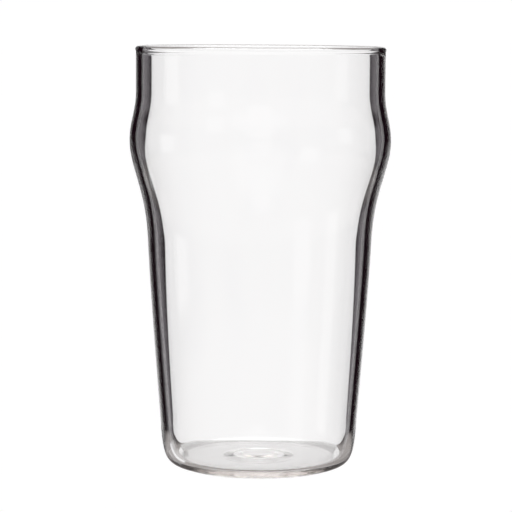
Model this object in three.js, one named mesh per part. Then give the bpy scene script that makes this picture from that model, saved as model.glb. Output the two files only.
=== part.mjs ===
// Nonic pint glass: one piece of blown borosilicate glass, with a bulge below its straight collar.
// Millimetres, +Z up. The origin is the centre of the flat ring that the glass stands on.
// The whole glass is one outline revolved about the Z axis. The outline starts on the axis under
// the base, runs out and up the outside, over the rim, down the inside and back to the axis.

import * as THREE from 'three';

// Heights above the surface that the glass stands on.
const RIM_HEIGHT = 142;
const COLLAR_FOOT_HEIGHT = 126.8;
const BULGE_HEIGHT = 110.6;
const NECK_HEIGHT = 77;
const HEEL_HEIGHT = 13.2;

// Outside radii at those heights.
const COLLAR_RADIUS = 41.9;
const BULGE_RADIUS = 44;
const NECK_RADIUS = 37.8;
const HEEL_RADIUS = 33.3;
const FOOT_RADIUS = 23.6;

// Slope of the tapered body: how far the radius grows per millimetre of height.
const NECK_SLOPE = 0.045;
const HEEL_SLOPE = 0.076;

// Glass thickness. The wall is drawn thinner where it swells into the bulge and the collar.
const BASE_WALL = 2.9;
const HEEL_WALL = 2.35;
const NECK_WALL = 2.4;
const COLLAR_WALL = 2.05;

// Rim bead: a fire-polished edge, an ellipse a little thicker than the collar.
const BEAD_HALF_THICKNESS = 1.25;
const BEAD_HALF_HEIGHT = 1.2;

// Pontil: a shallow round hollow in the middle of the underside, and the swell above it inside.
// Both are level in the middle, out to the top radius.
const PONTIL_RADIUS = 12.5;
const PONTIL_TOP_RADIUS = 5.8;
const PONTIL_DEPTH = 1.1;
const PONTIL_SWELL = 0.9;

// Steps of the mesh. The steps round the axis are a multiple of 4, so that the widest points of
// the glass lie on the X and Y axes.
const STEPS_ROUND = 64;
const STEPS_PER_CURVE = 6;
const STEPS_PER_BEAD = 8;
const STEPS_PER_PONTIL = 4;

// The wall from the foot to the collar, as outside curves of (radius, height). Each curve leaves
// and meets its neighbours in the same direction, so the wall has no creases. The thickness of
// the glass runs evenly along a curve from its first value to its last.
function wallStretches() {
  const foot = new THREE.Vector2(FOOT_RADIUS, 0);
  const heel = new THREE.Vector2(HEEL_RADIUS, HEEL_HEIGHT);
  const neck = new THREE.Vector2(NECK_RADIUS, NECK_HEIGHT);
  const bulge = new THREE.Vector2(BULGE_RADIUS, BULGE_HEIGHT);
  const collarFoot = new THREE.Vector2(COLLAR_RADIUS, COLLAR_FOOT_HEIGHT);
  const flat = new THREE.Vector2(1, 0);
  const upright = new THREE.Vector2(0, 1);
  const atHeel = new THREE.Vector2(HEEL_SLOPE, 1);
  const atNeck = new THREE.Vector2(NECK_SLOPE, 1);
  return [
    { curve: smoothCurve(foot, flat, 7.5, heel, atHeel, 11.2), thickness: [BASE_WALL, HEEL_WALL] },
    { curve: smoothCurve(heel, atHeel, 20, neck, atNeck, 20), thickness: [HEEL_WALL, NECK_WALL] },
    { curve: smoothCurve(neck, atNeck, 17.2, bulge, upright, 9.7), thickness: [NECK_WALL, COLLAR_WALL] },
    { curve: smoothCurve(bulge, upright, 6.1, collarFoot, upright, 6.7), thickness: [COLLAR_WALL, COLLAR_WALL] },
  ];
}

// A cubic curve that leaves `start` along `startDirection` and arrives at `end` along
// `endDirection`. The two reaches say how far it keeps to each direction.
function smoothCurve(start, startDirection, startReach, end, endDirection, endReach) {
  const startHandle = start.clone().addScaledVector(startDirection, startReach);
  const endHandle = end.clone().addScaledVector(endDirection, -endReach);
  return new THREE.CubicBezierCurve(start, startHandle, endHandle, end);
}

// Points along one side of the wall, from foot to collar foot. The inside lies one thickness in
// from the outside, square to it.
function wallPoints(side) {
  const points = [];
  wallStretches().forEach(({ curve, thickness }, index) => {
    const firstStep = index === 0 ? 0 : 1;
    for (let step = firstStep; step <= STEPS_PER_CURVE; step += 1) {
      const along = step / STEPS_PER_CURVE;
      const point = curve.getPoint(along);
      if (side === 'inside') {
        const tangent = curve.getTangent(along);
        const inward = new THREE.Vector2(-tangent.y, tangent.x);
        point.addScaledVector(inward, THREE.MathUtils.lerp(...thickness, along));
      }
      points.push(point);
    }
  });
  return points;
}

// The rim bead, from where it leaves the outside of the collar, over the top, to the inside.
function beadPoints() {
  const centreRadius = COLLAR_RADIUS - COLLAR_WALL / 2;
  const centreHeight = RIM_HEIGHT - BEAD_HALF_HEIGHT;
  const leaveAngle = -Math.acos(COLLAR_WALL / 2 / BEAD_HALF_THICKNESS);
  const bead = new THREE.EllipseCurve(
    centreRadius, centreHeight,
    BEAD_HALF_THICKNESS, BEAD_HALF_HEIGHT,
    leaveAngle, Math.PI - leaveAngle,
  );
  return bead.getPoints(STEPS_PER_BEAD);
}

// Points from the axis outwards over the pontil: level to its top radius, then a cosine slope
// that dies out at its edge.
function pontilPoints(floorHeight, swell) {
  const points = [new THREE.Vector2(0, floorHeight + swell)];
  for (let step = 0; step <= STEPS_PER_PONTIL; step += 1) {
    const along = step / STEPS_PER_PONTIL;
    const radius = THREE.MathUtils.lerp(PONTIL_TOP_RADIUS, PONTIL_RADIUS, along);
    const rise = swell * (1 + Math.cos(Math.PI * along)) / 2;
    points.push(new THREE.Vector2(radius, floorHeight + rise));
  }
  return points;
}

// The closed outline of the glass, from the axis to the axis.
function outline() {
  const underside = pontilPoints(0, PONTIL_DEPTH);
  const insideFloor = pontilPoints(BASE_WALL, PONTIL_SWELL);
  return [
    ...underside,
    ...wallPoints('outside'),
    ...beadPoints(),
    ...wallPoints('inside').reverse(),
    ...insideFloor.reverse(),
  ];
}

function glassVessel() {
  const geometry = new THREE.LatheGeometry(outline(), STEPS_ROUND);
  geometry.rotateX(Math.PI / 2);
  const material = new THREE.MeshStandardMaterial({
    color: 0xe6eae9,
    roughness: 0.03,
    metalness: 0,
    transparent: true,
    opacity: 0.3,
  });
  const mesh = new THREE.Mesh(geometry, material);
  mesh.name = 'glass_vessel';
  return mesh;
}

const pintGlass = new THREE.Group();
pintGlass.name = 'pint_glass';
pintGlass.add(glassVessel());

export default pintGlass;
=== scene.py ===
# The pint glass as it looks: its smooth mesh and clear material, the pale board it stands on, the
# soft panels of the studio around it, and the camera. Lengths are metres unless a comment says
# millimetres, +Z is up, and the glass stands on z = 0.

import math

import bpy
from mathutils import Euler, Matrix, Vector


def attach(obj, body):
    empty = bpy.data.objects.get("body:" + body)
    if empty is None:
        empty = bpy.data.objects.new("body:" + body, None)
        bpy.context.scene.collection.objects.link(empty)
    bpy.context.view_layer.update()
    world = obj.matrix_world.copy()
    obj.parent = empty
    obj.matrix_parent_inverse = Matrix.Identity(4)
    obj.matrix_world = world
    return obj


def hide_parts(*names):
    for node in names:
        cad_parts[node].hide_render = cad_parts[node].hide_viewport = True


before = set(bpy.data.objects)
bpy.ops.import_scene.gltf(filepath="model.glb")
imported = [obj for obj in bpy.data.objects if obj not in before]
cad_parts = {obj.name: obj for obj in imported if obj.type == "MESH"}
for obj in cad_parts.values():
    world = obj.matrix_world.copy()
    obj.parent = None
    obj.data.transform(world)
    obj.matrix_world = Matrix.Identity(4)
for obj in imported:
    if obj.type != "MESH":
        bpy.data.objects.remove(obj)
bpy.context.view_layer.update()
MM = 0.001

# Steps of the smooth mesh.
STEPS_ROUND = 256
STEPS_PER_CURVE = 32
STEPS_PER_COLLAR = 12
STEPS_PER_BEAD = 32
STEPS_PER_PONTIL = 24

# The outline of the glass, in millimetres from the axis and above the table.
RIM_HEIGHT = 142.0
COLLAR_FOOT_HEIGHT = 126.8
BULGE_HEIGHT = 110.6
NECK_HEIGHT = 77.0
HEEL_HEIGHT = 13.2
COLLAR_RADIUS = 41.9
BULGE_RADIUS = 44.0
NECK_RADIUS = 37.8
HEEL_RADIUS = 33.3
FOOT_RADIUS = 23.6
NECK_SLOPE = 0.045
HEEL_SLOPE = 0.076
BASE_WALL = 2.9
HEEL_WALL = 2.35
NECK_WALL = 2.4
COLLAR_WALL = 2.05
BEAD_HALF_THICKNESS = 1.25
BEAD_HALF_HEIGHT = 1.2
PONTIL_RADIUS = 12.5
PONTIL_TOP_RADIUS = 5.8
PONTIL_DEPTH = 1.1
PONTIL_SWELL = 0.9

# The inside of the glass leans a little to one side of the outside, as in a blown glass.
LEAN_AT_RIM = -0.12
LEAN_AT_HEEL = 0.08


def cubic(start, start_direction, start_reach, end, end_direction, end_reach):
    """A smooth curve, as functions for the point and the direction at a place from 0 to 1."""
    start = Vector(start)
    end = Vector(end)
    start_handle = start + Vector(start_direction) * start_reach
    end_handle = end - Vector(end_direction) * end_reach

    def point(t):
        u = 1 - t
        return start * u**3 + start_handle * 3 * u * u * t + end_handle * 3 * u * t * t + end * t**3

    def direction(t):
        u = 1 - t
        first = (start_handle - start) * u * u
        middle = (end_handle - start_handle) * 2 * u * t
        last = (end - end_handle) * t * t
        return (first + middle + last).normalized()

    return point, direction


def outside_curves():
    """The outside of the wall from foot to collar, and the thickness at each end of each curve."""
    foot = (FOOT_RADIUS, 0)
    heel = (HEEL_RADIUS, HEEL_HEIGHT)
    neck = (NECK_RADIUS, NECK_HEIGHT)
    bulge = (BULGE_RADIUS, BULGE_HEIGHT)
    collar_foot = (COLLAR_RADIUS, COLLAR_FOOT_HEIGHT)
    flat = (1, 0)
    upright = (0, 1)
    at_heel = (HEEL_SLOPE, 1)
    at_neck = (NECK_SLOPE, 1)
    return [
        (cubic(foot, flat, 7.5, heel, at_heel, 11.2), (BASE_WALL, HEEL_WALL)),
        (cubic(heel, at_heel, 20, neck, at_neck, 20), (HEEL_WALL, NECK_WALL)),
        (cubic(neck, at_neck, 17.2, bulge, upright, 9.7), (NECK_WALL, COLLAR_WALL)),
        (cubic(bulge, upright, 6.1, collar_foot, upright, 6.7), (COLLAR_WALL, COLLAR_WALL)),
    ]


def wall_points(inside):
    """One side of the wall, from the foot to the bead. The inside lies one thickness further in."""
    points = []
    for index, ((point, direction), (first_wall, last_wall)) in enumerate(outside_curves()):
        first_step = 0 if index == 0 else 1
        for step in range(first_step, STEPS_PER_CURVE + 1):
            along = step / STEPS_PER_CURVE
            place = point(along)
            if inside:
                tangent = direction(along)
                thickness = first_wall + (last_wall - first_wall) * along
                place = place + Vector((-tangent.y, tangent.x)) * thickness
            points.append(place)
    radius = COLLAR_RADIUS - (COLLAR_WALL if inside else 0)
    collar_height = RIM_HEIGHT - 2 * BEAD_HALF_HEIGHT - COLLAR_FOOT_HEIGHT
    for step in range(1, STEPS_PER_COLLAR + 1):
        height = COLLAR_FOOT_HEIGHT + collar_height * step / STEPS_PER_COLLAR
        points.append(Vector((radius, height)))
    return points


def bead_points():
    """The rim bead, from the outside of the collar over the top to its inside."""
    centre_radius = COLLAR_RADIUS - COLLAR_WALL / 2
    centre_height = RIM_HEIGHT - BEAD_HALF_HEIGHT
    leave = -math.acos(COLLAR_WALL / 2 / BEAD_HALF_THICKNESS)
    points = []
    for step in range(STEPS_PER_BEAD + 1):
        angle = leave + (math.pi - 2 * leave) * step / STEPS_PER_BEAD
        radius = centre_radius + BEAD_HALF_THICKNESS * math.cos(angle)
        height = centre_height + BEAD_HALF_HEIGHT * math.sin(angle)
        points.append(Vector((radius, height)))
    return points


def pontil_points(floor_height, swell):
    """From the axis out: a level middle, and a cosine slope that dies out at the pontil's edge."""
    points = [Vector((0, floor_height + swell))]
    for step in range(STEPS_PER_PONTIL + 1):
        along = step / STEPS_PER_PONTIL
        rise = swell * (1 + math.cos(math.pi * along)) / 2
        radius = PONTIL_TOP_RADIUS + (PONTIL_RADIUS - PONTIL_TOP_RADIUS) * along
        points.append(Vector((radius, floor_height + rise)))
    return points


def outline():
    """The closed outline, and the first and last place in it of the inside of the wall."""
    outside = pontil_points(0, PONTIL_DEPTH) + wall_points(False) + bead_points()
    inside = wall_points(True)[::-1]
    floor = pontil_points(BASE_WALL, PONTIL_SWELL)[::-1]
    return outside + inside + floor, len(outside), len(outside) + len(inside) - 1


def lean(height):
    """How far the inside is off the axis at a height, in millimetres."""
    along = (height - HEEL_HEIGHT) / (COLLAR_FOOT_HEIGHT - HEEL_HEIGHT)
    along = min(max(along, 0.0), 1.0)
    return LEAN_AT_HEEL + (LEAN_AT_RIM - LEAN_AT_HEEL) * along


def revolve(name, points, first_inside, last_inside):
    """A closed smooth body: the outline turned about the Z axis, with one vertex at each end."""
    verts = [(0, 0, points[0].y * MM)]
    for index, point in enumerate(points[1:-1], start=1):
        off_axis = lean(point.y) * MM if first_inside <= index <= last_inside else 0
        for step in range(STEPS_ROUND):
            angle = 2 * math.pi * step / STEPS_ROUND
            radius = point.x * MM
            across = off_axis + radius * math.cos(angle)
            verts.append((across, radius * math.sin(angle), point.y * MM))
    verts.append((0, 0, points[-1].y * MM))
    last = len(verts) - 1
    rings = len(points) - 2
    faces = []
    for step in range(STEPS_ROUND):
        following = (step + 1) % STEPS_ROUND
        faces.append((0, 1 + following, 1 + step))
        for ring in range(rings - 1):
            low = 1 + ring * STEPS_ROUND
            high = low + STEPS_ROUND
            faces.append((low + step, low + following, high + following, high + step))
        top = 1 + (rings - 1) * STEPS_ROUND
        faces.append((top + step, top + following, last))
    mesh = bpy.data.meshes.new(name)
    mesh.from_pydata(verts, [], faces)
    mesh.validate()
    mesh.shade_smooth()
    piece = bpy.data.objects.new(name, mesh)
    bpy.context.scene.collection.objects.link(piece)
    return piece


class NodeMaths:
    """Short calls that build number nodes in one node tree."""

    def __init__(self, tree):
        self.tree = tree

    def feed(self, socket, value):
        """Set a socket to a number, or link it to another node's output."""
        if isinstance(value, (int, float)):
            socket.default_value = value
        else:
            self.tree.links.new(value, socket)

    def split(self, coordinates):
        coords = self.tree.nodes.new("ShaderNodeTexCoord")
        node = self.tree.nodes.new("ShaderNodeSeparateXYZ")
        self.tree.links.new(coords.outputs[coordinates], node.inputs[0])
        return node.outputs[0], node.outputs[1], node.outputs[2]

    def maths(self, operation, *values):
        node = self.tree.nodes.new("ShaderNodeMath")
        node.operation = operation
        for index, value in enumerate(values):
            self.feed(node.inputs[index], value)
        return node.outputs[0]

    def step(self, value, start, full):
        """0 below the start, 1 above the full value, and smooth between them."""
        node = self.tree.nodes.new("ShaderNodeMapRange")
        node.interpolation_type = "SMOOTHSTEP"
        self.feed(node.inputs["Value"], value)
        self.feed(node.inputs["From Min"], start)
        self.feed(node.inputs["From Max"], full)
        return node.outputs[0]

    def falls(self, value, place, soft):
        """1 below a place and 0 above it."""
        return self.maths("SUBTRACT", 1.0, self.step(value, place - soft, place + soft))

    def between(self, value, low, high, soft):
        """1 between two places and 0 outside them."""
        above = self.step(value, low - soft, low + soft)
        return self.maths("MULTIPLY", above, self.falls(value, high, soft))

    def turned(self, x, y, angle):
        """How far a direction points along a line turned by an angle from the X axis."""
        along_x = self.maths("MULTIPLY", x, math.cos(angle))
        along_y = self.maths("MULTIPLY", y, math.sin(angle))
        return self.maths("ADD", along_x, along_y)


# The glass: how much the blown surface waves, and how far its light smears and seeds stand out.
# The gleam is the share that is kept of the reflection real glass gives face on. It is turned
# down so that the panels don't show as light shapes on the front of the glass.
GLASS_INDEX = 1.474
GLASS_GLEAM = 0.35
WAVE_SCALE = 38.0
WAVE_HEIGHT = 0.000012
SMEAR_SCALE = 55.0
SMEAR_ROUGHNESS = 0.012
SEED_SCALE = 42.0
SEED_SIZE = 0.018
SEED_SHARE = 0.03
SEED_HEIGHT = 0.0001
# How densely the glass takes light along its depth, and the colour that it leaves. It shows mostly
# in the base, and is fitted to look right with the limit on bounces below, not measured.
GLASS_DEPTH = 9.0
GLASS_TINT = (0.3, 0.25, 0.22, 1)


def clear_glass():
    """Clear blown glass: faint upright waves, a few smears of the hand, and a few tiny seeds."""
    material = bpy.data.materials.new("clear_glass")
    material.use_nodes = True
    tree = material.node_tree
    numbers = NodeMaths(tree)
    shader = tree.nodes["Principled BSDF"]
    shader.inputs["IOR"].default_value = GLASS_INDEX
    shader.inputs["Transmission Weight"].default_value = 1.0
    shader.inputs["Specular Tint"].default_value = (GLASS_GLEAM, GLASS_GLEAM, GLASS_GLEAM, 1)

    coords = tree.nodes.new("ShaderNodeTexCoord")
    upright = tree.nodes.new("ShaderNodeMapping")
    upright.inputs["Scale"].default_value = (1.0, 1.0, 0.3)
    tree.links.new(coords.outputs["Object"], upright.inputs["Vector"])

    waves = tree.nodes.new("ShaderNodeTexNoise")
    waves.inputs["Scale"].default_value = WAVE_SCALE
    waves.inputs["Detail"].default_value = 1.0
    tree.links.new(upright.outputs[0], waves.inputs["Vector"])

    seeds = tree.nodes.new("ShaderNodeTexVoronoi")
    seeds.inputs["Scale"].default_value = SEED_SCALE
    tree.links.new(coords.outputs["Object"], seeds.inputs["Vector"])
    seed = numbers.maths("SUBTRACT", 1.0, numbers.step(seeds.outputs["Distance"], 0.0, SEED_SIZE))
    pick = tree.nodes.new("ShaderNodeSeparateColor")
    tree.links.new(seeds.outputs["Color"], pick.inputs[0])
    chosen = numbers.maths("LESS_THAN", pick.outputs[0], SEED_SHARE)
    seed = numbers.maths("MULTIPLY", seed, chosen)

    height = numbers.maths("MULTIPLY", waves.outputs[0], WAVE_HEIGHT)
    height = numbers.maths("ADD", height, numbers.maths("MULTIPLY", seed, SEED_HEIGHT))
    bump = tree.nodes.new("ShaderNodeBump")
    bump.inputs["Distance"].default_value = 1.0
    tree.links.new(height, bump.inputs["Height"])
    tree.links.new(bump.outputs[0], shader.inputs["Normal"])

    smears = tree.nodes.new("ShaderNodeTexNoise")
    smears.inputs["Scale"].default_value = SMEAR_SCALE
    smears.inputs["Detail"].default_value = 4.0
    tree.links.new(upright.outputs[0], smears.inputs["Vector"])
    smear = numbers.step(smears.outputs[0], 0.52, 0.75)
    tree.links.new(numbers.maths("MULTIPLY", smear, SMEAR_ROUGHNESS), shader.inputs["Roughness"])

    tint = tree.nodes.new("ShaderNodeMixRGB")
    tint.inputs[1].default_value = (1.0, 1.0, 1.0, 1)
    tint.inputs[2].default_value = (0.985, 0.985, 0.988, 1)
    tree.links.new(smear, tint.inputs[0])
    tree.links.new(tint.outputs[0], shader.inputs["Base Color"])

    inside = tree.nodes.new("ShaderNodeVolumeAbsorption")
    inside.inputs["Color"].default_value = GLASS_TINT
    inside.inputs["Density"].default_value = GLASS_DEPTH
    tree.links.new(inside.outputs[0], tree.nodes["Material Output"].inputs["Volume"])
    return material


glass = revolve("pint_glass", *outline())
glass.data.materials.append(clear_glass())
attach(glass, "root")
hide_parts("glass_vessel")

# The board stands in for a floor. It is a pale disc under the glass, and a strip of it close
# behind, which widens by the spread on each side up to its straight back edge. Beyond the disc
# it is painted darker, a painted shade that stands in for the shadow on the floor beside and
# behind the glass. It also glows a little though it is no lamp, a painted light that lightens it
# where the glass shades it. Around it there is only background.
BOARD_RADIUS = 0.0262
BOARD_BACK = 0.0306
BOARD_SPREAD = 0.0068
BOARD_REACH = 0.038
BOARD_EDGE = 0.0006
BOARD_DROP = 0.00005
BOARD_WHITE = 0.62
# Painted shade: the board's grey beyond the disc, darker than under it.
BOARD_SHADE_BEYOND = 0.33
# Painted light: the board glows though it is no lamp.
BOARD_GLOW = 0.3
BOARD_GLOW_COLOUR = (1, 0.975, 0.965, 1)


def board_material():
    material = bpy.data.materials.new("pale_board")
    material.use_nodes = True
    tree = material.node_tree
    numbers = NodeMaths(tree)
    maths = numbers.maths
    x, y, z = numbers.split("Object")

    from_axis = maths("SQRT", maths("ADD", maths("POWER", x, 2.0), maths("POWER", y, 2.0)))
    disc = numbers.falls(from_axis, BOARD_RADIUS, BOARD_EDGE)
    spread = maths("MULTIPLY", numbers.step(y, 0.0, BOARD_BACK), BOARD_SPREAD)
    beyond = maths("SUBTRACT", maths("ABSOLUTE", x), spread)
    strip = numbers.falls(beyond, BOARD_RADIUS, BOARD_EDGE)
    strip = maths("MULTIPLY", strip, numbers.step(y, 0.0, BOARD_EDGE))
    strip = maths("MULTIPLY", strip, numbers.falls(from_axis, BOARD_REACH, 0.003))
    cover = maths("MAXIMUM", disc, strip)

    # Painted shade: the board is painted darker beyond the disc than under it.
    shade = maths("MULTIPLY", disc, BOARD_WHITE - BOARD_SHADE_BEYOND)
    shade = maths("ADD", shade, BOARD_SHADE_BEYOND)
    paint = tree.nodes.new("ShaderNodeCombineColor")
    for index in range(3):
        tree.links.new(shade, paint.inputs[index])

    shader = tree.nodes["Principled BSDF"]
    shader.inputs["Roughness"].default_value = 0.9
    shader.inputs["Specular IOR Level"].default_value = 0.0
    # Painted light: the board glows a little, which lightens it where the glass shades it.
    shader.inputs["Emission Color"].default_value = BOARD_GLOW_COLOUR
    shader.inputs["Emission Strength"].default_value = BOARD_GLOW
    tree.links.new(paint.outputs[0], shader.inputs["Base Color"])
    tree.links.new(cover, shader.inputs["Alpha"])
    return material


def pale_board():
    side = BOARD_RADIUS + BOARD_SPREAD + BOARD_EDGE
    front = -BOARD_RADIUS - BOARD_EDGE
    corners = [(-side, front, 0), (side, front, 0), (side, BOARD_BACK, 0), (-side, BOARD_BACK, 0)]
    mesh = bpy.data.meshes.new("board")
    mesh.from_pydata(corners, [], [(0, 1, 2, 3)])
    mesh.materials.append(board_material())
    board = bpy.data.objects.new("board", mesh)
    board.location.z = -BOARD_DROP
    bpy.context.scene.collection.objects.link(board)
    return board


pale_board()

# The studio: soft white panels around the glass, dark between them, a large light overhead, and
# weak fill light from below and from high up. Directions are given by the X, Y and Z of a vector
# one long.
PANEL_LIGHT = 1.0
GAP_COLOUR = (0.0075, 0.0030, 0.0050)
SIDE_LIGHT = 0.42
SIDE_COLOUR = (1.0, 0.95, 1.0)
SIDE_START = 0.67
SIDE_END = 0.84
SIDE_LOW = -0.26
SIDE_HIGH = 0.12
TOP_LIGHT = 5.2
TOP_START = 0.78
TOP_FULL = 0.84
FILL_LIGHT = 0.36
FILL_COLOUR = (1.0, 0.945, 0.915)
FILL_HIGH = -0.255
HIGH_FILL_START = 0.2
HIGH_FILL_LIGHT = 0.7
HIGH_FILL_WIDTH = 0.4
# A panel: its turn in degrees from +Y towards -X, its half width, how much it widens downwards,
# the softness of its edges, the lowest and highest Z of its directions, and the brightness of the
# two lights beside it. The first is the backdrop of the main view. The others are backdrops for
# views from 45, 90 and 225 degrees, each only as tall as that view needs. From other sides the
# background is black or grey and the straight edge of the board shows. From above it is grey.
PANELS = [
    (-0.7, 0.172, 0.095, 0.006, -0.62, 2.0, SIDE_LIGHT),
    (45, 0.15, 0.0, 0.012, -0.57, -0.30, 0.0),
    (90, 0.15, 0.0, 0.012, -0.22, 0.105, 0.0),
    (225, 0.15, 0.0, 0.012, -0.41, -0.10, 0.0),
]
# Where a panel that widens begins to, and is at its widest, and its half width below all that.
WIDE_START = -0.05
WIDE_FULL = -0.24
LOW_PANEL_TOP = -0.215
LOW_PANEL_WIDTH = 0.137
# Above this height a panel reaches over to the far side.
BRIDGE_LOW = 0.15


def studio_world():
    """The light that comes from each direction, worked out from that direction alone."""
    world = bpy.data.worlds.new("studio")
    bpy.context.scene.world = world
    world.use_nodes = True
    tree = world.node_tree
    nodes = tree.nodes
    background = nodes["Background"]
    numbers = NodeMaths(tree)
    maths = numbers.maths
    step = numbers.step
    between = numbers.between
    x, y, z = numbers.split("Generated")

    panels = 0.0
    sides = 0.0
    for turn, half_width, widening, soft, low, high, side_light in PANELS:
        angle = math.radians(turn)
        across = maths("ABSOLUTE", numbers.turned(x, y, angle))
        ahead = step(numbers.turned(x, y, angle + math.pi / 2), 0.0, 0.02)
        reach = maths("MAXIMUM", ahead, step(z, BRIDGE_LOW, BRIDGE_LOW + 0.03))
        drop = maths("SUBTRACT", 1.0, step(z, WIDE_FULL, WIDE_START))
        width = maths("ADD", maths("MULTIPLY", drop, widening), half_width)
        if widening > 0:
            low_part = step(z, LOW_PANEL_TOP - 0.06, LOW_PANEL_TOP)
            extra = maths("SUBTRACT", width, LOW_PANEL_WIDTH)
            width = maths("ADD", LOW_PANEL_WIDTH, maths("MULTIPLY", low_part, extra))
        panel = maths("SUBTRACT", 1.0, step(maths("SUBTRACT", across, width), -soft, soft))
        panel = maths("MULTIPLY", panel, between(z, low, high, soft))
        panels = maths("MAXIMUM", panels, maths("MULTIPLY", panel, reach))
        if side_light > 0:
            side = maths("MULTIPLY", between(across, SIDE_START, SIDE_END, 0.03), ahead)
            side = maths("MULTIPLY", side, between(z, SIDE_LOW, SIDE_HIGH, 0.03))
            sides = maths("MAXIMUM", sides, maths("MULTIPLY", side, side_light))
    low_fill = maths("MULTIPLY", numbers.falls(z, FILL_HIGH, 0.02), FILL_LIGHT)
    high_fill = step(z, HIGH_FILL_START, HIGH_FILL_START + 0.2)
    high_fill = maths("MULTIPLY", high_fill, numbers.falls(maths("ABSOLUTE", x), HIGH_FILL_WIDTH, 0.1))
    high_fill = maths("MULTIPLY", high_fill, HIGH_FILL_LIGHT)
    overhead = maths("MULTIPLY", step(z, TOP_START, TOP_FULL), TOP_LIGHT)
    white = maths("MAXIMUM", maths("MULTIPLY", panels, PANEL_LIGHT), maths("MAXIMUM", overhead, high_fill))
    colour = tree.nodes.new("ShaderNodeCombineColor")
    for index in range(3):
        level = maths("MAXIMUM", white, maths("MULTIPLY", low_fill, FILL_COLOUR[index]))
        level = maths("MAXIMUM", level, maths("MULTIPLY", sides, SIDE_COLOUR[index]))
        tree.links.new(maths("ADD", level, GAP_COLOUR[index]), colour.inputs[index])
    tree.links.new(colour.outputs[0], background.inputs["Color"])


studio_world()

# The camera. Its height and distance are fitted to how flat the rim and the base look.
CAMERA_LENS = 162.9
CAMERA_SENSOR = 36
CAMERA_DISTANCE = 0.780
CAMERA_HEIGHT = 0.1514
AIM_HEIGHT = 0.0712
CAMERA_YAW = math.radians(0.089)
CAMERA_ROLL = math.radians(0.36)


def add_camera():
    data = bpy.data.cameras.new("camera")
    data.lens = CAMERA_LENS
    data.sensor_width = CAMERA_SENSOR
    camera = bpy.data.objects.new("camera", data)
    bpy.context.scene.collection.objects.link(camera)
    pitch = math.atan2(CAMERA_HEIGHT - AIM_HEIGHT, CAMERA_DISTANCE)
    aim = Euler((math.pi / 2 - pitch, 0, CAMERA_YAW), "XYZ").to_quaternion()
    roll = Euler((0, 0, CAMERA_ROLL), "XYZ").to_quaternion()
    camera.location = (0, -CAMERA_DISTANCE, CAMERA_HEIGHT)
    camera.rotation_mode = "QUATERNION"
    camera.rotation_quaternion = aim @ roll
    bpy.context.scene.camera = camera


add_camera()

# Light runs a long way inside the base, so the paths are long. A higher limit makes the lower
# edge of the base lighter.
scene = bpy.context.scene
scene.view_settings.view_transform = "Standard"
scene.cycles.max_bounces = 48
scene.cycles.transmission_bounces = 48
scene.cycles.glossy_bounces = 48
